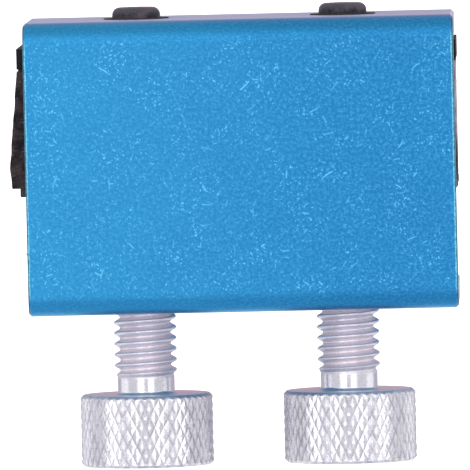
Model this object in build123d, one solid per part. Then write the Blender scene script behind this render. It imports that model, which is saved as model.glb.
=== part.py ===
from build123d import *
import os

# A small vise that grips a circuit board by its edge. A blue anodised aluminium channel lies
# with its mouth towards +Y. A soft jaw hangs inside its upper flange from two M2.5 button-head
# screws, and two M6 thumb screws through its lower flange raise a pressure bar towards it.
#
# All sizes are in millimetres. X runs along the channel, +Y out of its mouth and +Z up. The
# origin is on the underside of the lower flange, midway between the two thumb screws.

# ------------------------------------------------------------------ driving dimensions
# Channel: an extruded C section, sawn to length
channel_length = 40.0
channel_height = 27.3
channel_depth = 20.0
wall = 2.4
outer_corner_radius = 2.0
inner_corner_radius = 0.5
flange_tip_radius = 0.5
sawn_edge_chamfer = 0.25
web_to_screw_line = 10.0          # from the web's outer face to the line of all four screws

# Thumb screws: M6, a knurled head on a thread that is rolled on a plain shank
thumb_screw_spacing = 19.0
thumb_thread_diameter = 5.85      # over the crests
thumb_thread_pitch = 1.0
thumb_head_diameter = 12.4
thumb_head_height = 6.7
thumb_head_chamfer = 0.3
thumb_head_drop = 7.8             # from the lower flange to the head, as the vise is left
thumb_neck_length = 1.45
thumb_neck_fillet = 0.35
pilot_diameter = 4.0              # the turned-down end that carries the pressure bar
pilot_chamfer = 0.2
ring_groove_diameter = 3.2

# Retaining ring, shim and thrust washer that hold the pressure bar on each thumb screw
ring_thickness = 0.6
ring_outer_diameter = 7.2
ring_band = 1.25
ring_lug_width = 1.4
ring_mouth_width = 2.8
shim_thickness = 0.2
shim_diameter = 7.8
thrust_washer_thickness = 0.5
thrust_washer_diameter = 8.0

# Pressure bar and the rubber taped on it
pressure_bar_length = 39.2
pressure_bar_thickness = 2.5
pressure_bar_edge_radius = 0.4
bar_pocket_diameter = 8.8         # for the ring and the shim, sunk in the bar's top
bar_pocket_depth = 1.2
bar_lift = 0.3                    # thrust washers above the lower flange, as the vise is left
bar_facing_length = 39.6
bar_tape_overhang_left = 0.3       # the tape's frayed end stands out past the channel

# Fixed jaw: a tapped plate, a block of sponge rubber under it and a thin rubber facing
backing_plate_thickness = 1.9
backing_plate_overhang_left = 0.7
backing_plate_overhang_right = 0.2
jaw_block_overhang_top = 0.8      # the block's left end is cut on a slant and bulges
jaw_block_overhang_low = 1.6
jaw_block_overhang_foot = 1.45
jaw_block_bulge_height = 2.0      # from the block's foot up to where it bulges most
jaw_block_overhang_right = 0.3
jaw_facing_overhang_left = 0.75
jaw_facing_overhang_right = 0.25
facing_thickness = 0.8
tape_thickness = 0.15
mouth_opening = 4.45              # between the two rubber facings, as the vise is left

# Jaw screws: M2.5 button heads with a hexagon socket, each on a thin fibre washer
jaw_screw_spacing = 19.3
jaw_screw_diameter = 2.5
jaw_screw_pitch = 0.45
jaw_screw_tip_gap = 0.45          # the screw ends this far inside the backing plate
jaw_screw_hole_diameter = 2.9
button_head_diameter = 4.5
button_head_height = 1.0
button_head_rim = 0.3            # the plain rim under the quarter-round dome
socket_across_flats = 1.5
socket_depth = 0.75
fibre_washer_diameter = 6.1
fibre_washer_thickness = 0.1

# Clearances and setbacks
thread_clearance = 0.07           # radial, between a thumb screw's crests and its tapped bore
tapped_clearance = 0.02           # radial, between a jaw screw's crests and the backing plate
pilot_clearance = 0.07            # radial, round the pilot
axial_clearance = 0.05            # end play of the thumb screw in the pressure bar
bar_to_web_clearance = 0.4
bar_tip_setback = 0.8             # the bar's front edge behind the flange tips
jaw_tip_setback = 0.6             # the fixed jaw's front face behind the flange tips
bore_countersink = 0.35

# Thread form, as shares of the pitch
thread_depth_share = 0.54
crest_flat_share = 0.125
root_flat_share = 0.25
neck_undersize_share = 0.25       # a rolled thread's plain shank, under its crests, on the radius

# How far a cutting shape runs past the face that it cuts
overrun = 1.0

# ------------------------------------------------------------------ places worked out from them
half_length = channel_length / 2
web_outer_y = -web_to_screw_line
web_inner_y = web_outer_y + wall
flange_tip_y = web_outer_y + channel_depth

floor_z = wall
ceiling_z = channel_height - wall

washer_low_z = floor_z + bar_lift
bar_low_z = washer_low_z + thrust_washer_thickness
bar_top_z = bar_low_z + pressure_bar_thickness
bar_tape_top_z = bar_top_z + tape_thickness
bar_facing_top_z = bar_tape_top_z + facing_thickness
bar_back_y = web_inner_y + bar_to_web_clearance
bar_front_y = flange_tip_y - bar_tip_setback

jaw_face_z = bar_facing_top_z + mouth_opening
block_foot_z = jaw_face_z + facing_thickness
plate_low_z = ceiling_z - backing_plate_thickness
block_top_z = plate_low_z - tape_thickness
jaw_front_y = flange_tip_y - jaw_tip_setback

shoulder_z = washer_low_z - axial_clearance
head_top_z = -thumb_head_drop
head_low_z = head_top_z - thumb_head_height
pocket_floor_z = bar_top_z - bar_pocket_depth
shim_top_z = pocket_floor_z + shim_thickness
ring_low_z = shim_top_z + axial_clearance
ring_top_z = ring_low_z + ring_thickness

head_seat_z = channel_height + fibre_washer_thickness

pilot_hole_diameter = pilot_diameter + 2 * pilot_clearance
thumb_screw_places = {"left": -thumb_screw_spacing / 2, "right": thumb_screw_spacing / 2}
jaw_screw_places = {"left": -jaw_screw_spacing / 2, "right": jaw_screw_spacing / 2}


# ------------------------------------------------------------------ shapes used more than once
def slab(x_span, y_span, z_span):
    """A plain block between two places along each axis."""
    centre = [(low + high) / 2 for low, high in (x_span, y_span, z_span)]
    size = [high - low for low, high in (x_span, y_span, z_span)]
    return Pos(*centre) * Box(*size)


def round_bar(diameter, z_low, z_high, x=0.0):
    """A plain upright cylinder on the screw line."""
    return Pos(x, 0, (z_low + z_high) / 2) * Cylinder(diameter / 2, z_high - z_low)


def flat_ring(outer_diameter, inner_diameter, z_low, z_high, x=0.0):
    """A washer on the screw line."""
    hole = round_bar(inner_diameter, z_low - overrun, z_high + overrun, x)
    return round_bar(outer_diameter, z_low, z_high, x) - hole


def thread_outline(crest_radius, pitch, z_low, z_high):
    """Outline points of a thread drawn as rings at its pitch, from its low end to its high end."""
    root_radius = crest_radius - thread_depth_share * pitch
    crest_flat = crest_flat_share * pitch
    root_flat = root_flat_share * pitch
    flank = (pitch - crest_flat - root_flat) / 2
    points = [(crest_radius, z_low)]
    z = z_low + crest_flat
    while z + 2 * flank + root_flat < z_high:
        points.append((crest_radius, z))
        points.append((root_radius, z + flank))
        points.append((root_radius, z + flank + root_flat))
        points.append((crest_radius, z + 2 * flank + root_flat))
        z += pitch
    points.append((crest_radius, z_high))
    return points


def turned(points):
    """A solid of revolution about Z from an outline of (radius, height) points."""
    outline = Polyline(*[(r, 0, z) for r, z in points], close=True)
    return revolve(make_face(outline), Axis.Z)


# ------------------------------------------------------------------ the fixed pieces
def make_channel_body():
    """The extruded channel, with tapped bores below and clearance holes above."""
    # the section is drawn with Y across and Z up
    middle_y = (web_outer_y + flange_tip_y) / 2
    section = Pos(middle_y, channel_height / 2) * Rectangle(channel_depth, channel_height)
    section = fillet(section.vertices().group_by(Axis.X)[0], outer_corner_radius)
    pocket_depth = channel_depth - wall
    pocket_height = ceiling_z - floor_z
    pocket = Pos(web_inner_y + pocket_depth, channel_height / 2) * Rectangle(2 * pocket_depth, pocket_height)
    pocket = fillet(pocket.vertices().group_by(Axis.X)[0], inner_corner_radius)
    section = section - pocket
    section = fillet(section.vertices().group_by(Axis.X)[-1], flange_tip_radius)
    body = extrude(Plane.YZ * section, channel_length / 2, both=True)
    body = chamfer(body.faces().filter_by(Axis.X).edges(), sawn_edge_chamfer)

    bore_diameter = thumb_thread_diameter + 2 * thread_clearance
    sink_radius = bore_diameter / 2 + bore_countersink
    for x in thumb_screw_places.values():
        body -= round_bar(bore_diameter, -overrun, floor_z + overrun, x)
        body -= Pos(x, 0, bore_countersink / 2) * Cone(sink_radius, bore_diameter / 2, bore_countersink)
    for x in jaw_screw_places.values():
        body -= round_bar(jaw_screw_hole_diameter, ceiling_z - overrun, channel_height + overrun, x)
    return body


def make_jaw_backing_plate():
    """The flat strip under the upper flange that the jaw screws are tapped into."""
    x_span = (-half_length - backing_plate_overhang_left, half_length + backing_plate_overhang_right)
    plate = slab(x_span, (web_inner_y + inner_corner_radius, jaw_front_y), (plate_low_z, ceiling_z))
    tapped_diameter = jaw_screw_diameter + 2 * tapped_clearance
    for x in jaw_screw_places.values():
        plate -= round_bar(tapped_diameter, plate_low_z - overrun, ceiling_z + overrun, x)
    return plate


def make_jaw_block_tape():
    """The double-sided tape between the backing plate and the jaw block."""
    x_span = (-half_length - backing_plate_overhang_left, half_length + backing_plate_overhang_right)
    return slab(x_span, (web_inner_y + inner_corner_radius, jaw_front_y), (block_top_z, plate_low_z))


def make_upper_jaw_block():
    """The sponge rubber block, cut by hand: its left end slants outwards and bulges."""
    left = -half_length
    right = half_length + jaw_block_overhang_right
    outline = Polyline(
        (left - jaw_block_overhang_top, 0, block_top_z),
        (left - jaw_block_overhang_low, 0, block_foot_z + jaw_block_bulge_height),
        (left - jaw_block_overhang_foot, 0, block_foot_z),
        (right, 0, block_foot_z),
        (right, 0, block_top_z),
        close=True,
    )
    block = extrude(make_face(outline), jaw_front_y - web_inner_y, dir=(0, 1, 0))
    return Pos(0, web_inner_y, 0) * block


def make_upper_jaw_facing():
    """The thin rubber sheet under the jaw block that a board meets."""
    x_span = (-half_length - jaw_facing_overhang_left, half_length + jaw_facing_overhang_right)
    return slab(x_span, (web_inner_y, jaw_front_y), (jaw_face_z, block_foot_z))


def make_jaw_screw(x):
    """One M2.5 button-head screw, from its socket down to its tip in the backing plate."""
    tip_z = plate_low_z + jaw_screw_tip_gap
    rim_radius = button_head_diameter / 2
    flat_radius = rim_radius - (button_head_height - button_head_rim)
    rim_z = head_seat_z + button_head_rim
    top_z = head_seat_z + button_head_height
    shank_points = thread_outline(jaw_screw_diameter / 2, jaw_screw_pitch, tip_z, head_seat_z)
    shank = turned([(0, tip_z)] + shank_points + [(0, head_seat_z)])
    dome = Line((rim_radius, 0, head_seat_z), (rim_radius, 0, rim_z))
    dome += TangentArc((rim_radius, 0, rim_z), (flat_radius, 0, top_z), tangent=(0, 0, 1))
    dome += Polyline((flat_radius, 0, top_z), (0, 0, top_z), (0, 0, head_seat_z), (rim_radius, 0, head_seat_z))
    head = revolve(make_face(dome), Axis.Z)
    socket = RegularPolygon(socket_across_flats / 2, 6, major_radius=False)
    head -= extrude(Pos(0, 0, top_z - socket_depth) * socket, socket_depth + overrun)
    return Pos(x, 0, 0) * (head + shank)


def make_jaw_screw_washer(x):
    """The thin black fibre washer under a button head."""
    return flat_ring(fibre_washer_diameter, jaw_screw_hole_diameter, channel_height, head_seat_z, x)


# ------------------------------------------------------------------ the moving jaw
def make_pressure_bar():
    """The aluminium bar that the thumb screws raise, with pockets for their rings."""
    x_span = (-pressure_bar_length / 2, pressure_bar_length / 2)
    bar = slab(x_span, (bar_back_y, bar_front_y), (bar_low_z, bar_top_z))
    bar = fillet(bar.edges().filter_by(Axis.Z), pressure_bar_edge_radius)
    for x in thumb_screw_places.values():
        bar -= round_bar(pilot_hole_diameter, bar_low_z - overrun, bar_top_z + overrun, x)
        bar -= round_bar(bar_pocket_diameter, pocket_floor_z, bar_top_z + overrun, x)
    return bar


def make_pressure_bar_tape():
    """The double-sided tape that holds the facing on the pressure bar."""
    x_span = (-half_length - bar_tape_overhang_left, pressure_bar_length / 2)
    return slab(x_span, (bar_back_y, bar_front_y), (bar_top_z, bar_tape_top_z))


def make_pressure_bar_facing():
    """The thin rubber sheet on the pressure bar."""
    x_span = (-bar_facing_length / 2, bar_facing_length / 2)
    return slab(x_span, (bar_back_y, bar_front_y), (bar_tape_top_z, bar_facing_top_z))


def make_thrust_washer(x):
    """The steel washer between a thumb screw's shoulder and the pressure bar."""
    return flat_ring(thrust_washer_diameter, pilot_hole_diameter, washer_low_z, bar_low_z, x)


def make_ring_shim(x):
    """The thin steel shim that keeps a retaining ring off the soft aluminium."""
    return flat_ring(shim_diameter, pilot_hole_diameter, pocket_floor_z, shim_top_z, x)


# ------------------------------------------------------------------ the thumb screws
def make_thumb_screw(x):
    """One M6 thumb screw: knurled head, plain neck, thread, and the pilot with its groove."""
    crest_radius = thumb_thread_diameter / 2
    neck_radius = crest_radius - neck_undersize_share * thumb_thread_pitch
    neck_top_z = head_top_z + thumb_neck_length
    head_radius = thumb_head_diameter / 2
    pilot_radius = pilot_diameter / 2
    groove_radius = ring_groove_diameter / 2
    pilot_top_z = bar_top_z - axial_clearance
    run_in = crest_radius - neck_radius
    outline = [
        (0, head_low_z),
        (head_radius - thumb_head_chamfer, head_low_z),
        (head_radius, head_low_z + thumb_head_chamfer),
        (head_radius, head_top_z - thumb_head_chamfer),
        (head_radius - thumb_head_chamfer, head_top_z),
        (neck_radius + thumb_neck_fillet, head_top_z),
        (neck_radius, head_top_z + thumb_neck_fillet),
        (neck_radius, neck_top_z),
    ]
    outline += thread_outline(crest_radius, thumb_thread_pitch, neck_top_z + run_in, shoulder_z - run_in)
    outline += [
        (neck_radius, shoulder_z),
        (pilot_radius, shoulder_z),
        (pilot_radius, ring_low_z),
        (groove_radius, ring_low_z),
        (groove_radius, ring_top_z),
        (pilot_radius, ring_top_z),
        (pilot_radius, pilot_top_z - pilot_chamfer),
        (pilot_radius - pilot_chamfer, pilot_top_z),
        (0, pilot_top_z),
    ]
    return Pos(x, 0, 0) * turned(outline)


def make_retaining_ring(x):
    """The E-shaped ring that snaps into the pilot's groove, with three inner lugs."""
    outer_radius = ring_outer_diameter / 2
    groove_radius = ring_groove_diameter / 2
    band = Circle(outer_radius) - Circle(outer_radius - ring_band)
    lug_length = outer_radius - groove_radius
    lug_middle = (outer_radius + groove_radius) / 2
    lugs = Pos(0, lug_middle) * Rectangle(ring_lug_width, lug_length)
    for side in (-1, 1):
        lugs += Pos(side * lug_middle, 0) * Rectangle(lug_length, ring_lug_width)
    blank = (band + lugs) & Circle(outer_radius)
    mouth = Pos(0, -outer_radius) * Rectangle(ring_mouth_width, 2 * (outer_radius - groove_radius))
    outline = blank - mouth - Circle(groove_radius)
    return Pos(x, 0, ring_low_z) * extrude(outline, ring_thickness)


# ------------------------------------------------------------------ write one file for each node
pieces = {
    "channel_body": make_channel_body(),
    "jaw_backing_plate": make_jaw_backing_plate(),
    "jaw_block_tape": make_jaw_block_tape(),
    "upper_jaw_block": make_upper_jaw_block(),
    "upper_jaw_facing": make_upper_jaw_facing(),
    "pressure_bar": make_pressure_bar(),
    "pressure_bar_tape": make_pressure_bar_tape(),
    "pressure_bar_facing": make_pressure_bar_facing(),
}
for side, x in jaw_screw_places.items():
    pieces[f"{side}_jaw_screw"] = make_jaw_screw(x)
    pieces[f"{side}_jaw_screw_washer"] = make_jaw_screw_washer(x)
for side, x in thumb_screw_places.items():
    pieces[f"{side}_thumb_screw"] = make_thumb_screw(x)
    pieces[f"{side}_retaining_ring"] = make_retaining_ring(x)
    pieces[f"{side}_ring_shim"] = make_ring_shim(x)
    pieces[f"{side}_thrust_washer"] = make_thrust_washer(x)

os.makedirs("parts", exist_ok=True)
for name, piece in pieces.items():
    export_step(piece, f"parts/{name}.step")
    print(f"{name}: {piece.volume:.1f} mm3")
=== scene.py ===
import math
import bmesh
import bpy
from mathutils import Matrix, Vector, noise


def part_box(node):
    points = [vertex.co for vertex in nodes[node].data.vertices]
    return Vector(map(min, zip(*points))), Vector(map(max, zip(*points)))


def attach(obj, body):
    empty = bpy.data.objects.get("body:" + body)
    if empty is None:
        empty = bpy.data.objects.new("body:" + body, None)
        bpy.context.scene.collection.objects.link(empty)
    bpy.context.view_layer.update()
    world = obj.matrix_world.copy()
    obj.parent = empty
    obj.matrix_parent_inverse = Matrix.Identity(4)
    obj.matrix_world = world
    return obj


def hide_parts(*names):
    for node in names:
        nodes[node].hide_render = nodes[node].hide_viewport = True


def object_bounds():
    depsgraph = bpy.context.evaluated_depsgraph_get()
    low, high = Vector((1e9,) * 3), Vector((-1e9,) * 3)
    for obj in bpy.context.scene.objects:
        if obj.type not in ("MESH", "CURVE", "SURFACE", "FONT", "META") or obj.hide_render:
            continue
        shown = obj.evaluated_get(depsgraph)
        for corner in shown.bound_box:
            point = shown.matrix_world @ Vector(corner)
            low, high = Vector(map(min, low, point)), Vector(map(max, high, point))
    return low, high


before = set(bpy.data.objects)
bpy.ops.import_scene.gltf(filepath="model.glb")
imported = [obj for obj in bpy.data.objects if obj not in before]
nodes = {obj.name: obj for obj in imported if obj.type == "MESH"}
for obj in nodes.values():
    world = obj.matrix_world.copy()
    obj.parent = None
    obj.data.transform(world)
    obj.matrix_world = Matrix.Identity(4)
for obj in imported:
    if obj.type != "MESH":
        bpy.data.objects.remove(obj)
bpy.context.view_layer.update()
channel_low, channel_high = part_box("channel_body")

# ------------------------------------------------------------------ camera
# A long lens far in front of the channel's web, a little above it and to its right, and
# turned slightly about its own axis.
camera_yaw = math.radians(1.36)
camera_drop = math.radians(2.43)
camera_roll = math.radians(1.32)
camera_distance = 1.300
camera_aim = Vector((-0.00064, channel_low.y, channel_low.z + 0.00728))

forward = Vector((
    -math.sin(camera_yaw) * math.cos(camera_drop),
    math.cos(camera_yaw) * math.cos(camera_drop),
    -math.sin(camera_drop),
))
level_right = Vector((math.cos(camera_yaw), math.sin(camera_yaw), 0))
level_up = level_right.cross(forward)
right = math.cos(camera_roll) * level_right - math.sin(camera_roll) * level_up
up = math.cos(camera_roll) * level_up + math.sin(camera_roll) * level_right
lens = bpy.data.cameras.new("studio_camera")
lens.lens = 1072.3
lens.sensor_width = 36
lens.clip_start = 0.05
lens.clip_end = 20
camera = bpy.data.objects.new("studio_camera", lens)
camera.matrix_world = Matrix.Translation(camera_aim - forward * camera_distance) @ Matrix(
    (right, up, -forward)).transposed().to_4x4()
bpy.context.scene.collection.objects.link(camera)
bpy.context.scene.camera = camera
bpy.context.scene.view_settings.view_transform = "Standard"


# ------------------------------------------------------------------ studio
# A pale floor that the two knurled heads stand on, a soft surround, and four soft boxes, two
# tall ones beside the camera and two at the vise's sides.
def add(tree, kind, settings=None, **values):
    """A node with its settings, and its named sockets set to values or linked to other sockets."""
    made = tree.nodes.new(kind)
    for key, value in (settings or {}).items():
        setattr(made, key, value)
    for key, value in values.items():
        numbered = key[:2] == "in" and key[2:].isdigit()
        socket = made.inputs[int(key[2:]) if numbered else key.replace("_", " ")]
        if isinstance(value, bpy.types.NodeSocket):
            tree.links.new(value, socket)
        else:
            socket.default_value = value
    return made


def calc(tree, operation, *values, clamp=False):
    """The result of a sum on numbers and sockets."""
    settings = {"operation": operation, "use_clamp": clamp}
    inputs = {f"in{place}": value for place, value in enumerate(values)}
    return add(tree, "ShaderNodeMath", settings, **inputs).outputs[0]


def fade(tree, value, start, end, low=0.0, high=1.0):
    """A smooth change from low to high as value goes from start to end."""
    made = add(tree, "ShaderNodeMapRange", {"interpolation_type": "SMOOTHSTEP"},
               Value=value, From_Min=start, From_Max=end, To_Min=low, To_Max=high)
    return made.outputs[0]


def tint(tree, share, first, second):
    """A colour between two colours."""
    made = tree.nodes.new("ShaderNodeMix")
    made.data_type = "RGBA"
    for socket, value in ((made.inputs[0], share), (made.inputs[6], first), (made.inputs[7], second)):
        if isinstance(value, bpy.types.NodeSocket):
            tree.links.new(value, socket)
        else:
            socket.default_value = value if isinstance(value, float) else (*value[:3], 1.0)
    return made.outputs[2]


floor_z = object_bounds()[0].z
floor_mesh = bpy.data.meshes.new("studio_floor")
reach = 4.0
corners = [(-reach, -reach), (reach, -reach), (reach, reach), (-reach, reach)]
floor_mesh.from_pydata([(x, y, floor_z) for x, y in corners], [], [(0, 1, 2, 3)])
floor = bpy.data.objects.new("studio_floor", floor_mesh)
bpy.context.scene.collection.objects.link(floor)
paper = bpy.data.materials.new("white_paper")
paper.use_nodes = True
paper_shader = paper.node_tree.nodes["Principled BSDF"]
paper_shader.inputs["Base Color"].default_value = (0.86, 0.86, 0.87, 1)
paper_shader.inputs["Roughness"].default_value = 0.9
paper_shader.inputs["Emission Color"].default_value = (1, 1, 1, 1)
paper_shader.inputs["Emission Strength"].default_value = 0.95
floor_mesh.materials.append(paper)
floor.visible_glossy = False

surround = bpy.data.worlds.new("soft_surround")
surround.use_nodes = True
bpy.context.scene.world = surround
sky = surround.node_tree
away = add(sky, "ShaderNodeSeparateXYZ", Vector=add(sky, "ShaderNodeTexCoord").outputs["Generated"])
overhead = fade(sky, away.outputs["Z"], 0.70, 0.97)
underneath = fade(sky, away.outputs["Z"], -0.15, -0.70)
behind = fade(sky, away.outputs["Y"], 0.0, 0.8)
raised = fade(sky, away.outputs["Z"], 0.15, 0.45)
level = fade(sky, away.outputs["Z"], -0.12, -0.02)
aside = fade(sky, calc(sky, "ABSOLUTE", away.outputs["X"]), 0.15, 0.45)
front = tint(sky, raised, (0.72, 0.71, 0.76), (0.97, 0.99, 1.02))
rear = tint(sky, level, (0.85, 1.05, 1.02), (0.92, 0.58, 0.63))
rear = tint(sky, aside, rear, (0.50, 0.49, 0.57))
band = tint(sky, behind, front, rear)
band = tint(sky, overhead, band, (0.72, 0.76, 0.74))
below = tint(sky, behind, (0.80, 0.84, 0.92), (1.25, 1.30, 1.25))
band = tint(sky, underneath, band, below)
sky.links.new(band, sky.nodes["Background"].inputs["Color"])


def soft_box(name, azimuth, elevation, distance, width, tall, radiance):
    """A rectangular lamp that faces the vise. Azimuth 0 is in front of the web, 90 to its right."""
    lamp = bpy.data.lights.new(name, "AREA")
    lamp.shape = "RECTANGLE"
    lamp.size = width
    lamp.size_y = tall
    lamp.energy = radiance * math.pi * width * tall
    box = bpy.data.objects.new(name, lamp)
    turn, rise = math.radians(azimuth), math.radians(elevation)
    outwards = Vector((math.sin(turn) * math.cos(rise), -math.cos(turn) * math.cos(rise), math.sin(rise)))
    box.location = outwards * distance
    box.rotation_euler = outwards.to_track_quat("Z", "Y").to_euler()
    box.visible_camera = False
    bpy.context.scene.collection.objects.link(box)


soft_box("left_soft_box", -21, 2, 0.55, 0.19, 0.62, 1.8)
soft_box("right_soft_box", 20, 2, 0.55, 0.17, 0.62, 1.5)
soft_box("left_side_box", -98, 4, 0.55, 0.44, 0.40, 0.35)
soft_box("right_side_box", 96, 4, 0.55, 0.40, 0.40, 0.35)


# ------------------------------------------------------------------ channel
# An aluminium C channel, sawn to length, drilled and tapped, then dyed blue. Its web is covered with specks
# and short scratches from handling, and the dye is worn from its sawn edges. Its colour also carries painted
# light: the blue is lighter towards the left end, each sawn end has a painted highlight line on the web, and
# a painted shade line lies outside that.
mm = 0.001


def finish(name):
    """A new material, its node tree and its shader."""
    made = bpy.data.materials.new(name)
    made.use_nodes = True
    return made, made.node_tree, made.node_tree.nodes["Principled BSDF"]


def millimetres(tree):
    """Object coordinates in millimetres."""
    place = add(tree, "ShaderNodeTexCoord").outputs["Object"]
    return add(tree, "ShaderNodeMapping", Vector=place, Scale=(1 / mm, 1 / mm, 1 / mm)).outputs[0]


def grain(tree, place, scale, detail=2.0, roughness=0.5, stretch=(1, 1, 1)):
    """Noise from 0 to 1 at a scale in cycles a millimetre."""
    place = add(tree, "ShaderNodeMapping", Vector=place, Scale=stretch).outputs[0]
    made = add(tree, "ShaderNodeTexNoise", Vector=place, Scale=scale, Detail=detail, Roughness=roughness)
    return made.outputs["Fac"]


def bumps(tree, height, distance, strength=1.0, below=None):
    """A normal from a height, for a distance in millimetres."""
    made = add(tree, "ShaderNodeBump", Height=height, Distance=distance * mm, Strength=strength)
    if below is not None:
        tree.links.new(below, made.inputs["Normal"])
    return made.outputs[0]


def dashes(tree, place, cell, length, width, share, shift):
    """Short marks on a flat face, one in each cell, each with its own angle, length and weight."""
    moved = add(tree, "ShaderNodeMapping", Vector=place, Location=shift).outputs[0]
    cells = add(tree, "ShaderNodeTexVoronoi", {"voronoi_dimensions": "2D"}, Vector=moved, Scale=1 / cell)
    chance = add(tree, "ShaderNodeSeparateXYZ", Vector=cells.outputs["Color"]).outputs
    local = add(tree, "ShaderNodeVectorMath", {"operation": "SUBTRACT"},
                in0=moved, in1=cells.outputs["Position"]).outputs[0]
    angle = calc(tree, "MULTIPLY", chance[0], 2 * math.pi)
    turned = add(tree, "ShaderNodeVectorRotate", {"rotation_type": "Z_AXIS"},
                 Vector=local, Angle=angle).outputs[0]
    along, across, _ = add(tree, "ShaderNodeSeparateXYZ", Vector=turned).outputs
    reach = calc(tree, "MULTIPLY", calc(tree, "POWER", chance[1], 2.0), length)
    beyond = calc(tree, "MAXIMUM", calc(tree, "SUBTRACT", calc(tree, "ABSOLUTE", along), reach), 0.0)
    bend = calc(tree, "MULTIPLY", calc(tree, "MULTIPLY", along, along), 0.12 / length)
    gap = calc(tree, "ADD", across, bend)
    beyond_squared = calc(tree, "POWER", beyond, 2.0)
    off = calc(tree, "SQRT", calc(tree, "ADD", beyond_squared, calc(tree, "MULTIPLY", gap, gap)))
    mark = fade(tree, off, width, width * 0.3)
    weight = calc(tree, "MULTIPLY", calc(tree, "SUBTRACT", share, chance[2]), 1 / share, clamp=True)
    return calc(tree, "MULTIPLY", mark, calc(tree, "POWER", weight, 1.2))


blue_dye, tree, shader = finish("blue_anodised_scuffed")
place = millimetres(tree)
x, y, z = add(tree, "ShaderNodeSeparateXYZ", Vector=place).outputs
web_y, top_z = channel_low.y / mm, channel_high.z / mm
upper_half = calc(tree, "SIGN", calc(tree, "SUBTRACT", z, top_z / 2))
round_bend = calc(tree, "MULTIPLY", calc(tree, "SUBTRACT", y, web_y), upper_half)
flat = add(tree, "ShaderNodeCombineXYZ",
           X=calc(tree, "ADD", x, y), Y=calc(tree, "ADD", z, round_bend)).outputs[0]
near_bend = calc(tree, "MAXIMUM", fade(tree, z, 2.3, 1.2), fade(tree, z, top_z - 2.3, top_z - 1.2))
on_bend = calc(tree, "MULTIPLY", near_bend, fade(tree, y, web_y + 2.4, web_y + 1.6))
cloud = grain(tree, flat, 0.16, 3.0)
busy = fade(tree, grain(tree, flat, 0.30, 2.0), 0.40, 0.64)
specks = dashes(tree, flat, 0.40, 0.06, 0.080, 0.80, (3.1, 7.7, 0))
specks = calc(tree, "MAXIMUM", specks, dashes(tree, flat, 0.62, 0.12, 0.10, 0.70, (13.3, 1.9, 0)))
nicks = dashes(tree, flat, 1.25, 0.40, 0.085, 0.60, (21.7, 3.3, 0))
nicks = calc(tree, "MAXIMUM", nicks, dashes(tree, flat, 2.1, 0.7, 0.085, 0.60, (5.9, 31.3, 0)))
scratches = dashes(tree, flat, 7.5, 5.0, 0.05, 0.70, (2.3, 17.1, 0))
often = calc(tree, "ADD", calc(tree, "MULTIPLY", busy, 0.55), 0.25)
marks = calc(tree, "MULTIPLY", calc(tree, "MAXIMUM", specks, nicks), often)
marks = calc(tree, "MAXIMUM", marks, calc(tree, "MULTIPLY", scratches, 0.20))
marks = calc(tree, "MULTIPLY", marks, calc(tree, "SUBTRACT", 1.0, calc(tree, "MULTIPLY", on_bend, 0.85)))
fine = grain(tree, flat, 7.0, 3.0, 0.7)
sandy = grain(tree, flat, 3.4, 3.0, 0.65)
end_x = channel_high.x / mm
end_gap = calc(tree, "SUBTRACT", end_x, calc(tree, "ABSOLUTE", x))
ragged = calc(tree, "ADD", end_gap, calc(tree, "MULTIPLY", grain(tree, flat, 1.1, 3.0, 0.6), 0.20))
sawn_wear_and_highlight = fade(tree, ragged, 0.37, 0.31)
# A thin painted shade line just inside each sawn end, standing for the shaded end face.
off_end_face = calc(tree, "GREATER_THAN", end_gap, 0.01)
end_shade_line = calc(tree, "MULTIPLY", fade(tree, ragged, 0.24, 0.19), off_end_face)
frost = fade(tree, sandy, 0.40, 0.70, 0.0, 0.55)
# Painted light: the blue is made lighter towards the left end, on top of a random cloud of tone in the dye.
cloud_and_painted_light = calc(tree, "ADD", calc(tree, "MULTIPLY", cloud, 0.5), fade(tree, x, 16.0, -16.0, 0.0, 0.5))
dye_and_painted_light = tint(tree, cloud_and_painted_light, (0.018, 0.190, 0.445), (0.032, 0.295, 0.57))
dye_and_painted_light = tint(tree, frost, dye_and_painted_light, (0.066, 0.39, 0.74))
dye_and_painted_light = tint(tree, marks, dye_and_painted_light, (0.20, 0.68, 1.0))
on_web = calc(tree, "SUBTRACT", 1.0, on_bend)
# Along each sawn end of the web the dye is worn, and a bright cyan painted highlight line runs there.
saw_lines = fade(tree, grain(tree, place, 2.6, 3.0, 0.6, (0.2, 0.6, 3.0)), 0.35, 0.65)
worn_edge_and_highlight = tint(tree, saw_lines, (0.11, 0.50, 0.74), (0.30, 0.84, 1.0))
dye_and_painted_light = tint(tree, calc(tree, "MULTIPLY", calc(tree, "MULTIPLY", sawn_wear_and_highlight, 0.9), on_web), dye_and_painted_light, worn_edge_and_highlight)
dye_and_painted_light = tint(tree, calc(tree, "MULTIPLY", end_shade_line, 0.85), dye_and_painted_light, (0.030, 0.10, 0.14))
tree.links.new(dye_and_painted_light, shader.inputs["Base Color"])
shader.inputs["Metallic"].default_value = 1.0
shader.inputs["Sheen Weight"].default_value = 0.35
shader.inputs["Sheen Roughness"].default_value = 0.25
shader.inputs["Sheen Tint"].default_value = (1.0, 0.90, 0.94, 1)
rough = calc(tree, "ADD", calc(tree, "MULTIPLY", fine, 0.12), 0.32)
rough = calc(tree, "ADD", rough, calc(tree, "MULTIPLY", marks, 0.15))
tree.links.new(rough, shader.inputs["Roughness"])
skin = bumps(tree, fine, 0.010, 0.5)
tree.links.new(bumps(tree, marks, -0.012, 0.6, skin), shader.inputs["Normal"])


def dress(node, material):
    """A CAD piece whose shape is right gets its finish."""
    for held in nodes[node].material_slots:
        held.material = material


dress("channel_body", blue_dye)


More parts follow.
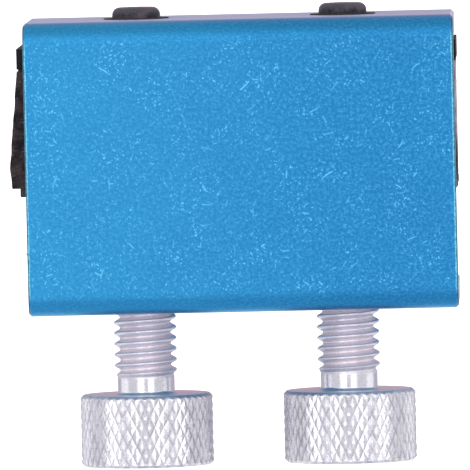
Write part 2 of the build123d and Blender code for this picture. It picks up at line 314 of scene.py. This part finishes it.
# ------------------------------------------------------------------ jaw backing plate
# A flat strip of black aluminium under the upper flange. The two jaw screws pull it up.
black_dye, tree, shader = finish("black_anodised_strip")
place = millimetres(tree)
streaks = grain(tree, place, 1.2, 3.0, 0.6, (0.25, 2.0, 2.0))
dark = tint(tree, streaks, (0.005, 0.004, 0.005), (0.016, 0.014, 0.016))
tree.links.new(dark, shader.inputs["Base Color"])
shader.inputs["Specular IOR Level"].default_value = 0.15
tree.links.new(calc(tree, "ADD", calc(tree, "MULTIPLY", streaks, 0.25), 0.45), shader.inputs["Roughness"])
tree.links.new(bumps(tree, streaks, 0.02, 0.4), shader.inputs["Normal"])
dress("jaw_backing_plate", black_dye)


# ------------------------------------------------------------------ fixed jaw
# A block of black sponge rubber, cut by hand with a knife, and a thin rubber sheet under it that
# meets the board. Double-sided tape holds the block on the plate and frays out at its ends.
def spread(low, high, edge, step):
    """Places across a side, closer together at its two rounded edges."""
    middle = max(2, round((high - low - 2 * edge) / step))
    inner = [low + edge + (high - low - 2 * edge) * k / middle for k in range(middle + 1)]
    rim = [0, 0.3, 0.65]
    return [low + edge * k for k in rim] + inner + [high - edge * k for k in reversed(rim)]


def cut_block(name, low, high, edge, step, shape):
    """A closed block with rounded edges. Its surface is a grid that shape can move."""
    sides = [spread(low[k], high[k], edge, step) for k in range(3)]
    counts = [len(side) - 1 for side in sides]
    bm = bmesh.new()
    made = {}

    def corner(*cell):
        if cell not in made:
            point = Vector([sides[k][cell[k]] for k in range(3)])
            core = Vector([min(max(point[k], low[k] + edge), high[k] - edge) for k in range(3)])
            out = point - core
            if out.length > 0:
                point = core + out.normalized() * edge if sum(abs(v) > 1e-9 for v in out) > 1 else point
            made[cell] = bm.verts.new(shape(point))
        return made[cell]

    for k in range(3):
        a, b = [n for n in range(3) if n != k]
        for end in (0, counts[k]):
            for i in range(counts[a]):
                for j in range(counts[b]):
                    cells = []
                    for di, dj in ((0, 0), (1, 0), (1, 1), (0, 1)):
                        cell = [0, 0, 0]
                        cell[k], cell[a], cell[b] = end, i + di, j + dj
                        cells.append(tuple(cell))
                    bm.faces.new([corner(*cell) for cell in cells])
    bmesh.ops.recalc_face_normals(bm, faces=bm.faces)
    mesh = bpy.data.meshes.new(name)
    bm.to_mesh(mesh)
    bm.free()
    return mesh


def place_piece(name, mesh, material, body, slot, *stands_for):
    """Puts a finished mesh in the scene, on its body, in place of its plain CAD solids."""
    piece = bpy.data.objects.new(name, mesh)
    bpy.context.scene.collection.objects.link(piece)
    mesh.materials.clear()
    mesh.materials.append(material)
    mesh.polygons.foreach_set("use_smooth", [True] * len(mesh.polygons))
    mesh.set_sharp_from_angle(angle=math.radians(32))
    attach(piece, body)
    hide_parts(*stands_for)
    return piece


block_low, block_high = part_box("upper_jaw_block")
overhang_top = 0.8 * mm
overhang_low = 1.6 * mm
overhang_foot = 1.45 * mm
bulge_height = 2.0 * mm


def block_left(z):
    """How far out the block's slanted left end stands at a height."""
    bulge_z = block_low.z + bulge_height
    if z < bulge_z:
        share = (z - block_low.z) / bulge_height
        return channel_low.x - overhang_foot - share * (overhang_low - overhang_foot)
    share = (z - bulge_z) / (block_high.z - bulge_z)
    return channel_low.x - overhang_low + share * (overhang_low - overhang_top)


def hand_cut(point):
    """Slants the left end and gives both ends the ripples of a knife cut."""
    across = (point.x - block_low.x) / (block_high.x - block_low.x)
    left = block_left(point.z)
    ripple = noise.noise(Vector((point.y * 260, point.z * 700, 3.1)))
    chatter = noise.noise(Vector((point.y * 900, point.z * 1500, 8.4)))
    depth = (0.06 * (1 + ripple) + 0.05 * (1 + chatter)) * mm
    start, end = left + depth, block_high.x - 0.14 * mm - 0.5 * depth
    hollow = 0.05 * mm * (1 + noise.noise(Vector((point.x * 220, point.z * 160, 5.5))))
    y = point.y - hollow if point.y > 0 else point.y + hollow
    return Vector((start + across * (end - start), y, point.z))


sponge, tree, shader = finish("sponge_rubber_cut")
place = millimetres(tree)
pores = add(tree, "ShaderNodeTexVoronoi", Vector=place, Scale=5.5, Randomness=1.0).outputs["Distance"]
holes = fade(tree, pores, 0.30, 0.05)
mottle = grain(tree, place, 0.9, 4.0, 0.6)
lines = grain(tree, place, 2.4, 3.0, 0.7, (1.0, 0.5, 3.0))
dark = tint(tree, fade(tree, mottle, 0.35, 0.68), (0.005, 0.003, 0.004), (0.046, 0.028, 0.031))
dark = tint(tree, calc(tree, "MULTIPLY", holes, 0.8), dark, (0.004, 0.003, 0.004))
dark = tint(tree, fade(tree, lines, 0.58, 0.72, 0.0, 0.6), dark, (0.22, 0.17, 0.20))
x, _, z = add(tree, "ShaderNodeSeparateXYZ", Vector=place).outputs
worn_z = calc(tree, "ADD", z, calc(tree, "MULTIPLY", grain(tree, place, 0.5, 4.0, 0.6), 4.0))
block_foot = block_low.z / mm
dusty = calc(tree, "MULTIPLY", fade(tree, x, end_x - 0.05, end_x + 0.1),
             fade(tree, worn_z, block_foot + 5.0, block_foot + 6.4))
dusty = calc(tree, "MULTIPLY", dusty, fade(tree, mottle, 0.30, 0.62, 0.35, 0.9))
dark = tint(tree, dusty, dark, (0.46, 0.34, 0.39))
tree.links.new(dark, shader.inputs["Base Color"])
shader.inputs["Specular IOR Level"].default_value = 0.3
tree.links.new(calc(tree, "ADD", calc(tree, "MULTIPLY", mottle, 0.2), 0.72), shader.inputs["Roughness"])
pitted = bumps(tree, holes, -0.08, 0.8)
tree.links.new(bumps(tree, lines, 0.06, 0.6, pitted), shader.inputs["Normal"])

mesh = cut_block("jaw_block_cut", block_low, block_high, 0.10 * mm, 0.45 * mm, hand_cut)
block = place_piece("jaw_block_cut", mesh, sponge, "channel", "sponge_rubber", "upper_jaw_block")


def sheet_cut(low, high, edge_wobble):
    """Wobbles the two ends and the two long edges of a thin sheet inwards."""
    middle = (low + high) / 2

    def moved(point):
        wave = noise.noise(Vector((point.x * 330, point.y * 330, 1.7)))
        jag = noise.noise(Vector((point.x * 1400, point.y * 1400, 4.2)))
        pull = edge_wobble * (1 + 0.6 * wave + 0.4 * jag)
        at = [point.x, point.y]
        for k in range(2):
            towards = -1 if at[k] > middle[k] else 1
            at[k] += pull * towards * (abs(at[k] - middle[k]) / (high[k] - middle[k])) ** 8
        return Vector((*at, point.z))
    return moved


rubber_sheet, tree, shader = finish("facing_rubber_sheet")
place = millimetres(tree)
weave = grain(tree, place, 3.0, 3.0, 0.6, (0.4, 1.6, 1.6))
dust = grain(tree, place, 1.1, 4.0, 0.65)
black = tint(tree, dust, (0.010, 0.009, 0.011), (0.038, 0.034, 0.040))
black = tint(tree, fade(tree, weave, 0.62, 0.75, 0.0, 0.5), black, (0.09, 0.085, 0.10))
tree.links.new(black, shader.inputs["Base Color"])
tree.links.new(calc(tree, "ADD", calc(tree, "MULTIPLY", dust, 0.25), 0.55), shader.inputs["Roughness"])
ribs = add(tree, "ShaderNodeTexWave", {"wave_type": "BANDS", "bands_direction": "Y"},
           Vector=place, Scale=0.55, Distortion=0.6).outputs["Fac"]
tree.links.new(bumps(tree, ribs, 0.05, 0.5, bumps(tree, weave, 0.03, 0.5)), shader.inputs["Normal"])

tape_film, tree, shader = finish("double_sided_tape")
place = millimetres(tree)
creases = grain(tree, place, 1.8, 4.0, 0.7, (1.0, 1.0, 0.3))
pale = tint(tree, creases, (0.44, 0.40, 0.47), (0.74, 0.70, 0.78))
x, _, z = add(tree, "ShaderNodeSeparateXYZ", Vector=place).outputs
# The tape's ends under the flange are painted near black: painted shade.
at_end = fade(tree, calc(tree, "ABSOLUTE", x), end_x - 0.6, end_x - 0.1)
painted_shade_at_ends = calc(tree, "MULTIPLY", at_end, calc(tree, "GREATER_THAN", z, block_foot))
tree.links.new(tint(tree, painted_shade_at_ends, pale, (0.012, 0.010, 0.012)), shader.inputs["Base Color"])
tree.links.new(calc(tree, "ADD", calc(tree, "MULTIPLY", creases, 0.4), 0.3), shader.inputs["Roughness"])
tree.links.new(bumps(tree, creases, 0.03, 0.6), shader.inputs["Normal"])

for node, body, slot, edge, wobble, material in (
    ("upper_jaw_facing", "channel", "facing_rubber", 0.12, 0.16, rubber_sheet),
    ("jaw_block_tape", "channel", "tape", 0.02, 0.15, tape_film),
    ("pressure_bar_facing", "moving_jaw", "facing_rubber", 0.12, 0.10, rubber_sheet),
    ("pressure_bar_tape", "moving_jaw", "tape", 0.02, 0.12, tape_film),
):
    low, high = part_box(node)
    mesh = cut_block(f"{node}_cut", low, high, edge * mm, 0.35 * mm, sheet_cut(low, high, wobble * mm))
    piece = place_piece(f"{node}_cut", mesh, material, body, slot, node)


# ------------------------------------------------------------------ jaw screws
# Two M2.5 button-head screws with a hexagon socket, in black-oxided steel. Each sits on a thin
# black fibre washer on the upper flange.
black_oxide, tree, shader = finish("black_oxide_steel_top_sheen")
place = millimetres(tree)
pits = grain(tree, place, 5.0, 4.0, 0.65)
bloom = grain(tree, place, 0.8, 3.0)
oxide = tint(tree, fade(tree, pits, 0.35, 0.70), (0.008, 0.006, 0.009), (0.062, 0.048, 0.060))
oxide = tint(tree, fade(tree, bloom, 0.45, 0.70, 0.0, 0.6), oxide, (0.15, 0.10, 0.125))
_, _, z = add(tree, "ShaderNodeSeparateXYZ", Vector=place).outputs
# The top of each dome is painted a lighter blue-grey: a painted highlight.
painted_top_sheen = fade(tree, z, top_z + 0.45, top_z + 0.85, 0.0, 0.6)
tree.links.new(tint(tree, painted_top_sheen, oxide, (0.075, 0.080, 0.110)), shader.inputs["Base Color"])
shader.inputs["Metallic"].default_value = 0.35
tree.links.new(calc(tree, "ADD", calc(tree, "MULTIPLY", pits, 0.2), 0.30), shader.inputs["Roughness"])
tree.links.new(bumps(tree, pits, 0.03, 0.5), shader.inputs["Normal"])

fibre, tree, shader = finish("black_fibre_washer")
place = millimetres(tree)
threads = grain(tree, place, 4.0, 4.0, 0.7, (1, 3, 1))
tree.links.new(tint(tree, threads, (0.012, 0.010, 0.013), (0.04, 0.035, 0.04)), shader.inputs["Base Color"])
tree.links.new(calc(tree, "ADD", calc(tree, "MULTIPLY", threads, 0.2), 0.65), shader.inputs["Roughness"])
tree.links.new(bumps(tree, threads, 0.02, 0.5), shader.inputs["Normal"])

for side in ("left", "right"):
    dress(f"{side}_jaw_screw", black_oxide)
    dress(f"{side}_jaw_screw_washer", fibre)


# ------------------------------------------------------------------ pressure bar
# A sawn length of mill-finish aluminium bar, with pockets in its top for the retaining rings.
mill_finish, tree, shader = finish("mill_finish_aluminium")
place = millimetres(tree)
draw_lines = grain(tree, place, 3.0, 3.0, 0.6, (0.04, 1.0, 1.0))
stains = grain(tree, place, 0.5, 4.0, 0.6)
tree.links.new(tint(tree, stains, (0.55, 0.56, 0.58), (0.78, 0.79, 0.81)), shader.inputs["Base Color"])
shader.inputs["Metallic"].default_value = 1.0
tree.links.new(calc(tree, "ADD", calc(tree, "MULTIPLY", draw_lines, 0.3), 0.22), shader.inputs["Roughness"])
tree.links.new(bumps(tree, draw_lines, 0.02, 0.5), shader.inputs["Normal"])
dress("pressure_bar", mill_finish)


# ------------------------------------------------------------------ rings, shims and thrust washers
# Stamped steel. A thrust washer sits on each thumb screw's shoulder, and a shim and a sprung
# E-ring in the bar's pocket hold the screw's pilot.
stamped, tree, shader = finish("stamped_steel_washers")
place = millimetres(tree)
rub = grain(tree, place, 2.6, 4.0, 0.6)
tree.links.new(tint(tree, rub, (0.50, 0.50, 0.51), (0.74, 0.74, 0.75)), shader.inputs["Base Color"])
shader.inputs["Metallic"].default_value = 1.0
tree.links.new(calc(tree, "ADD", calc(tree, "MULTIPLY", rub, 0.3), 0.2), shader.inputs["Roughness"])
tree.links.new(bumps(tree, rub, 0.01, 0.5), shader.inputs["Normal"])

sprung, tree, shader = finish("phosphated_spring_steel")
place = millimetres(tree)
crystal = grain(tree, place, 6.0, 4.0, 0.7)
tree.links.new(tint(tree, crystal, (0.09, 0.085, 0.085), (0.20, 0.19, 0.19)), shader.inputs["Base Color"])
shader.inputs["Metallic"].default_value = 0.8
tree.links.new(calc(tree, "ADD", calc(tree, "MULTIPLY", crystal, 0.25), 0.4), shader.inputs["Roughness"])
tree.links.new(bumps(tree, crystal, 0.01, 0.5), shader.inputs["Normal"])

for side in ("left", "right"):
    dress(f"{side}_thrust_washer", stamped)
    dress(f"{side}_ring_shim", stamped)
    dress(f"{side}_retaining_ring", sprung)


# ------------------------------------------------------------------ thumb screws
# Turned from bright steel. The head has a diamond knurl between two turned chamfers, the M6
# thread is rolled on the shank, and a turned-down pilot carries the pressure bar.
head_chamfer = 0.3 * mm
head_height = 6.7 * mm
knurl_depth = 0.14 * mm
diamonds_around = 44
diamond_rows = 7
neck_length = 1.45 * mm
neck_fillet = 0.35 * mm
pitch = 1.0 * mm
crest_radius = 2.925 * mm
root_radius = 2.385 * mm
neck_radius = 2.675 * mm
pilot_radius = 2.0 * mm
groove_radius = 1.6 * mm
pilot_chamfer = 0.2 * mm
tiles_around = 4 * diamonds_around
tiles_tall = 2 * diamond_rows
chamfer_tiles = 2
sides = 2 * tiles_around // 4


def start_tree(name, sizes):
    """A geometry node tree with named sizes. Returns the tree and its input sockets by name."""
    made = bpy.data.node_groups.new(name, "GeometryNodeTree")
    made.interface.new_socket("Geometry", in_out="INPUT", socket_type="NodeSocketGeometry")
    made.interface.new_socket("Geometry", in_out="OUTPUT", socket_type="NodeSocketGeometry")
    for label, kind in sizes.items():
        made.interface.new_socket(label, in_out="INPUT", socket_type=f"NodeSocket{kind}")
    return made, add(made, "NodeGroupInput").outputs


def end_tree(tree, mesh, material):
    """Realize Instances, Set Material and the output."""
    real = add(tree, "GeometryNodeRealizeInstances", Geometry=mesh).outputs[0]
    painted = add(tree, "GeometryNodeSetMaterial", Geometry=real, Material=material).outputs[0]
    add(tree, "NodeGroupOutput", Geometry=painted)


def grown(tree, start_mesh, values):
    """The plain mesh that a tree makes from a starting mesh and values for its named inputs."""
    holder = bpy.data.objects.new("holder", start_mesh)
    bpy.context.scene.collection.objects.link(holder)
    modifier = holder.modifiers.new("grow", "NODES")
    modifier.node_group = tree
    for item in tree.interface.items_tree:
        if item.in_out == "INPUT" and item.name in values:
            modifier[item.identifier] = values[item.name]
    bpy.context.view_layer.update()
    seen = holder.evaluated_get(bpy.context.evaluated_depsgraph_get())
    mesh = bpy.data.meshes.new_from_object(seen)
    bpy.data.objects.remove(holder)
    return mesh


def on_circle(tree, radius, turns, height):
    """A place at a radius, a number of turns and a height."""
    angle = calc(tree, "MULTIPLY", turns, 2 * math.pi)
    x = calc(tree, "MULTIPLY", radius, calc(tree, "COSINE", angle))
    y = calc(tree, "MULTIPLY", radius, calc(tree, "SINE", angle))
    return add(tree, "ShaderNodeCombineXYZ", X=x, Y=y, Z=height).outputs[0]


# The knurl: a small tile of eight triangles is repeated round the head and up it, and each
# point is then pushed in by how near it is to a groove of either hand.
knurl, given = start_tree("diamond_knurl", {
    "Radius": "Float", "Depth": "Float", "Low": "Float", "High": "Float", "Chamfer": "Float",
    "Tiles Around": "Int", "Tiles Tall": "Int", "Chamfer Tiles": "Int", "Diamonds Around": "Int",
    "Diamond Rows": "Int", "Metal": "Material",
})
rows = calc(knurl, "ADD", given["Tiles Tall"], calc(knurl, "MULTIPLY", given["Chamfer Tiles"], 2.0))
last_across = calc(knurl, "SUBTRACT", given["Tiles Around"], 1.0)
last_up = calc(knurl, "SUBTRACT", rows, 1.0)
points = add(knurl, "GeometryNodeMeshGrid", Vertices_X=given["Tiles Around"], Vertices_Y=rows,
             Size_X=last_across, Size_Y=last_up).outputs[0]
half_size = add(knurl, "ShaderNodeCombineXYZ", X=calc(knurl, "MULTIPLY", last_across, 0.5),
                Y=calc(knurl, "MULTIPLY", last_up, 0.5)).outputs[0]
points = add(knurl, "GeometryNodeSetPosition", Geometry=points, Offset=half_size).outputs[0]
tiles = add(knurl, "GeometryNodeInstanceOnPoints", Points=points, Instance=given["Geometry"]).outputs[0]
sheet = add(knurl, "GeometryNodeRealizeInstances", Geometry=tiles).outputs[0]
sheet = add(knurl, "GeometryNodeMergeByDistance", Geometry=sheet, Distance=0.05).outputs[0]
position = add(knurl, "GeometryNodeInputPosition").outputs[0]
across, climb, _ = add(knurl, "ShaderNodeSeparateXYZ", Vector=position).outputs
turns = calc(knurl, "DIVIDE", across, given["Tiles Around"])
body_height = calc(knurl, "SUBTRACT", calc(knurl, "SUBTRACT", given["High"], given["Low"]),
                   calc(knurl, "MULTIPLY", given["Chamfer"], 2.0))
first = calc(knurl, "DIVIDE", climb, given["Chamfer Tiles"], clamp=True)
past_first = calc(knurl, "SUBTRACT", climb, given["Chamfer Tiles"])
second = calc(knurl, "DIVIDE", past_first, given["Tiles Tall"], clamp=True)
past_second = calc(knurl, "SUBTRACT", past_first, given["Tiles Tall"])
third = calc(knurl, "DIVIDE", past_second, given["Chamfer Tiles"], clamp=True)
rise = calc(knurl, "ADD", calc(knurl, "MULTIPLY", calc(knurl, "ADD", first, third), given["Chamfer"]),
            calc(knurl, "MULTIPLY", second, body_height))
up_body = calc(knurl, "DIVIDE", calc(knurl, "SUBTRACT", rise, given["Chamfer"]), body_height)
up_share = calc(knurl, "MULTIPLY", up_body, calc(knurl, "MULTIPLY", given["Diamond Rows"], 0.5))
round_share = calc(knurl, "MULTIPLY", turns, given["Diamonds Around"])
whole_shift = 50.0  # keeps the sum above zero
flank_share = 0.40  # of the way from one groove to the next, and the rest is the flat of the diamond


def groove(hand):
    """From 0 in a groove of one hand to 1 on the land beside it."""
    shifted = calc(knurl, "ADD", round_share, whole_shift)
    share = calc(knurl, "FRACT", calc(knurl, hand, shifted, up_share))
    near = calc(knurl, "SUBTRACT", 0.5, calc(knurl, "ABSOLUTE", calc(knurl, "SUBTRACT", share, 0.5)))
    return calc(knurl, "DIVIDE", near, flank_share, clamp=True)


proud = calc(knurl, "MINIMUM", groove("ADD"), groove("SUBTRACT"))
knurled = calc(knurl, "SUBTRACT", given["Radius"],
               calc(knurl, "MULTIPLY", given["Depth"], calc(knurl, "SUBTRACT", 1.0, proud)))
total = calc(knurl, "SUBTRACT", given["High"], given["Low"])
from_end = calc(knurl, "MINIMUM", rise, calc(knurl, "SUBTRACT", total, rise))
turned_off = calc(knurl, "ADD", calc(knurl, "SUBTRACT", given["Radius"], given["Chamfer"]), from_end)
radius = calc(knurl, "MINIMUM", knurled, turned_off)
wrapped = add(knurl, "GeometryNodeSetPosition", Geometry=sheet,
              Position=on_circle(knurl, radius, turns, calc(knurl, "ADD", given["Low"], rise))).outputs[0]
end_tree(knurl, wrapped, given["Metal"])

tile = bpy.data.meshes.new("union_tile")
tile.from_pydata([(i / 2, j / 2, 0) for j in range(3) for i in range(3)], [],
                 [(4, a, b) for a, b in zip((0, 1, 2, 5, 8, 7, 6, 3), (1, 2, 5, 8, 7, 6, 3, 0))])

# The thread: a grid is wrapped round the shank so that its rows climb one pitch a turn, and the
# flanks fade out into the plain shank at both ends.
thread, given = start_tree("rolled_thread", {
    "Crest Radius": "Float", "Root Radius": "Float", "End Radius": "Float", "Pitch": "Float",
    "Low": "Float", "High": "Float", "Low Run Out": "Float", "High Run Out": "Float",
    "Start Turn": "Float", "Sides": "Int", "Rows Each Pitch": "Int", "Metal": "Material",
})
reach = calc(thread, "DIVIDE", calc(thread, "SUBTRACT", given["High"], given["Low"]), given["Pitch"])
rows_wanted = calc(thread, "MULTIPLY", calc(thread, "ADD", reach, 1.0), given["Rows Each Pitch"])
row_count = calc(thread, "CEIL", rows_wanted)
columns = calc(thread, "ADD", given["Sides"], 1.0)
grid = add(thread, "GeometryNodeMeshGrid", Size_X=1.0, Size_Y=row_count,
           Vertices_X=columns, Vertices_Y=calc(thread, "ADD", row_count, 1.0)).outputs[0]
position = add(thread, "GeometryNodeInputPosition").outputs[0]
across, climb, _ = add(thread, "ShaderNodeSeparateXYZ", Vector=position).outputs
turns = calc(thread, "ADD", across, 0.5)
rows_up = calc(thread, "ROUND", calc(thread, "ADD", climb, calc(thread, "MULTIPLY", row_count, 0.5)))
pitches = calc(thread, "DIVIDE", rows_up, given["Rows Each Pitch"])
climbed = calc(thread, "ADD", calc(thread, "SUBTRACT", pitches, 1.0), turns)
raw_rise = calc(thread, "MULTIPLY", climbed, given["Pitch"])
low_high = calc(thread, "SUBTRACT", given["High"], given["Low"])
rise = calc(thread, "MINIMUM", calc(thread, "MAXIMUM", raw_rise, 0.0), low_high)
off_crest = calc(thread, "ABSOLUTE", calc(thread, "SUBTRACT", calc(thread, "FRACT", pitches), 0.5))
crest_edge, root_edge = 0.05, 0.47  # in pitches from the middle of the crest
depth_share = fade(thread, off_crest, crest_edge, root_edge)
cut = calc(thread, "SUBTRACT", given["Crest Radius"], calc(
    thread, "MULTIPLY", depth_share, calc(thread, "SUBTRACT", given["Crest Radius"], given["Root Radius"])))
run_in = calc(thread, "DIVIDE", rise, given["Low Run Out"], clamp=True)
run_out = calc(thread, "DIVIDE", calc(thread, "SUBTRACT", low_high, rise), given["High Run Out"], clamp=True)
formed = fade(thread, calc(thread, "MINIMUM", run_in, run_out), 0.0, 1.0)
radius = calc(thread, "ADD", given["End Radius"], calc(
    thread, "MULTIPLY", formed, calc(thread, "SUBTRACT", cut, given["End Radius"])))
turned = calc(thread, "ADD", turns, given["Start Turn"])
wound = on_circle(thread, radius, turned, calc(thread, "ADD", given["Low"], rise))
wrapped = add(thread, "GeometryNodeSetPosition", Geometry=grid, Position=wound).outputs[0]
end_tree(thread, wrapped, given["Metal"])


def ring(bm, radius, z, count):
    """A circle of points."""
    angles = [2 * math.pi * k / count for k in range(count)]
    return [bm.verts.new((radius * math.cos(a), radius * math.sin(a), z)) for a in angles]


def join_rings(bm, first, second):
    """Faces between two circles. The first may have a whole number of times more points."""
    ratio = len(first) // len(second)
    for k, vertex in enumerate(second):
        following = second[(k + 1) % len(second)]
        fan = [first[(k * ratio + n) % len(first)] for n in range(ratio + 1)]
        for a, b in zip(fan, fan[1:]):
            bm.faces.new((vertex, a, b))
        bm.faces.new((vertex, fan[-1], following))


def turned_stack(bm, profile, count):
    """Circles up a profile of radii and heights, joined to each other."""
    rings = [ring(bm, radius, z, count) for radius, z in profile]
    for first, second in zip(rings, rings[1:]):
        for k in range(count):
            bm.faces.new((first[k], first[(k + 1) % count], second[(k + 1) % count], second[k]))
    return rings


bright, tree, shader = finish("bright_turned_steel")
place = millimetres(tree)
x, y, z = add(tree, "ShaderNodeSeparateXYZ", Vector=place).outputs
left_low, left_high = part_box("left_thumb_screw")
screw_x = (left_low.x + left_high.x) / 2
from_axis = calc(tree, "SUBTRACT", calc(tree, "ABSOLUTE", x), -screw_x / mm)
square = calc(tree, "ADD", calc(tree, "MULTIPLY", from_axis, from_axis), calc(tree, "MULTIPLY", y, y))
radial = calc(tree, "SQRT", square)
rings_place = add(tree, "ShaderNodeCombineXYZ", X=radial, Y=z).outputs[0]
tool_marks = grain(tree, rings_place, 7.0, 3.0, 0.6)
smudge = grain(tree, place, 0.7, 4.0, 0.6)
grit = grain(tree, place, 9.0, 3.0, 0.7)
head_radius = (left_high.x - left_low.x) / 2
rim = head_radius / mm
face_z = (left_low.z + head_height) / mm
thread_z = face_z + neck_length / mm
in_groove = fade(tree, radial, rim - 0.05, rim - knurl_depth / mm)
on_head = calc(tree, "MULTIPLY", calc(tree, "GREATER_THAN", radial, rim - 0.4), in_groove)
on_thread = fade(tree, z, thread_z - 0.1, thread_z + 0.2)
on_knurl = fade(tree, radial, rim - 0.4, rim - 0.3)
metal = tint(tree, smudge, (0.78, 0.77, 0.80), (0.91, 0.90, 0.93))
# The knurl's grooves are painted darker by a patchy amount: grime in them, and painted shade.
groove_grime_and_shade = fade(tree, grain(tree, place, 0.9, 3.0, 0.6), 0.40, 0.60, 0.12, 0.55)
metal = tint(tree, calc(tree, "MULTIPLY", on_head, groove_grime_and_shade), metal, (0.28, 0.26, 0.31))
metal = tint(tree, calc(tree, "MULTIPLY", on_thread, 0.5), metal, (0.80, 0.70, 0.76))
metal = tint(tree, fade(tree, grit, 0.54, 0.68, 0.0, 0.65), metal, (0.36, 0.32, 0.38))
# A band round the head's top face and the neck's foot is tinted blue-grey, a painted reflection of the blue
# channel, and made rougher.
on_face = calc(tree, "MULTIPLY", fade(tree, z, face_z - 0.32, face_z - 0.22),
               fade(tree, z, face_z + 0.3, face_z + 0.1))
metal = tint(tree, calc(tree, "MULTIPLY", on_face, 0.55), metal, (0.50, 0.58, 0.66))
tree.links.new(metal, shader.inputs["Base Color"])
bare_metal = calc(tree, "SUBTRACT", 1.0, calc(tree, "MULTIPLY", on_thread, 0.22))
tree.links.new(bare_metal, shader.inputs["Metallic"])
rough = calc(tree, "ADD", calc(tree, "MULTIPLY", smudge, 0.14), 0.10)
for part, more in ((on_thread, 0.26), (on_knurl, 0.10), (on_face, 0.30)):
    rough = calc(tree, "ADD", rough, calc(tree, "MULTIPLY", part, more))
tree.links.new(rough, shader.inputs["Roughness"])
tree.links.new(bumps(tree, grit, 0.012, 0.4, bumps(tree, tool_marks, 0.02, 0.5)), shader.inputs["Normal"])

ring_low, ring_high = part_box("left_retaining_ring")
washer_low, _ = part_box("left_thrust_washer")
shoulder_z = washer_low.z - 0.05 * mm
shoulder_land = 0.15 * mm
low_run_out = 0.9 * mm
high_run_out = 0.5 * mm
rows_each_pitch = 16
bottom_land = 0.4 * mm
centre_hole = [(1.2 * mm, 0.0), (0.8 * mm, 0.25 * mm)]
face_land = 0.3 * mm
for side, start_turn in (("left", -0.23), ("right", 0.59)):
    low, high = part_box(f"{side}_thumb_screw")
    middle = (low + high) / 2
    head_top_z = low.z + head_height
    neck_top_z = head_top_z + neck_length
    bm = bmesh.new()
    bm.from_mesh(grown(knurl, tile, {
        "Radius": head_radius, "Depth": knurl_depth, "Low": low.z, "High": head_top_z,
        "Chamfer": head_chamfer, "Tiles Around": tiles_around, "Tiles Tall": tiles_tall,
        "Chamfer Tiles": chamfer_tiles,
        "Diamonds Around": diamonds_around, "Diamond Rows": diamond_rows, "Metal": bright}))
    bm.from_mesh(grown(thread, bpy.data.meshes.new("empty"), {
        "Crest Radius": crest_radius, "Root Radius": root_radius, "End Radius": neck_radius,
        "Pitch": pitch, "Low": neck_top_z, "High": shoulder_z, "Low Run Out": low_run_out,
        "High Run Out": high_run_out, "Start Turn": start_turn, "Sides": sides,
        "Rows Each Pitch": rows_each_pitch, "Metal": bright}))
    rim_radius = head_radius - head_chamfer
    foot = [(rim_radius - bottom_land, low.z), *((radius, low.z + up) for radius, up in centre_hole)]
    bottom = turned_stack(bm, foot, sides)
    join_rings(bm, ring(bm, rim_radius, low.z, 2 * tiles_around), bottom[0])
    bm.faces.new(bottom[-1])
    angles = [math.radians(15 * k) for k in range(7)]
    fillet = [(neck_radius + neck_fillet * (1 - math.sin(a)), head_top_z + neck_fillet * (1 - math.cos(a)))
              for a in angles]
    shank = [(rim_radius - face_land, head_top_z), *fillet, (neck_radius, neck_top_z)]
    neck = turned_stack(bm, shank, sides)
    join_rings(bm, ring(bm, rim_radius, head_top_z, 2 * tiles_around), neck[0])
    pilot = turned_stack(bm, [
        (neck_radius, shoulder_z), (neck_radius - shoulder_land, shoulder_z), (pilot_radius, shoulder_z),
        (pilot_radius, ring_low.z), (groove_radius, ring_low.z), (groove_radius, ring_high.z),
        (pilot_radius, ring_high.z), (pilot_radius, high.z - pilot_chamfer),
        (pilot_radius - pilot_chamfer, high.z)], sides)
    bm.faces.new(pilot[-1])
    bmesh.ops.remove_doubles(bm, verts=bm.verts, dist=0.004 * mm)
    bmesh.ops.recalc_face_normals(bm, faces=bm.faces)
    bmesh.ops.translate(bm, verts=bm.verts, vec=(middle.x, middle.y, 0))
    mesh = bpy.data.meshes.new(f"{side}_knurled_screw")
    bm.to_mesh(mesh)
    bm.free()
    place_piece(f"{side}_knurled_screw", mesh, bright, f"{side}_screw", "knurled_steel",
                f"{side}_thumb_screw")
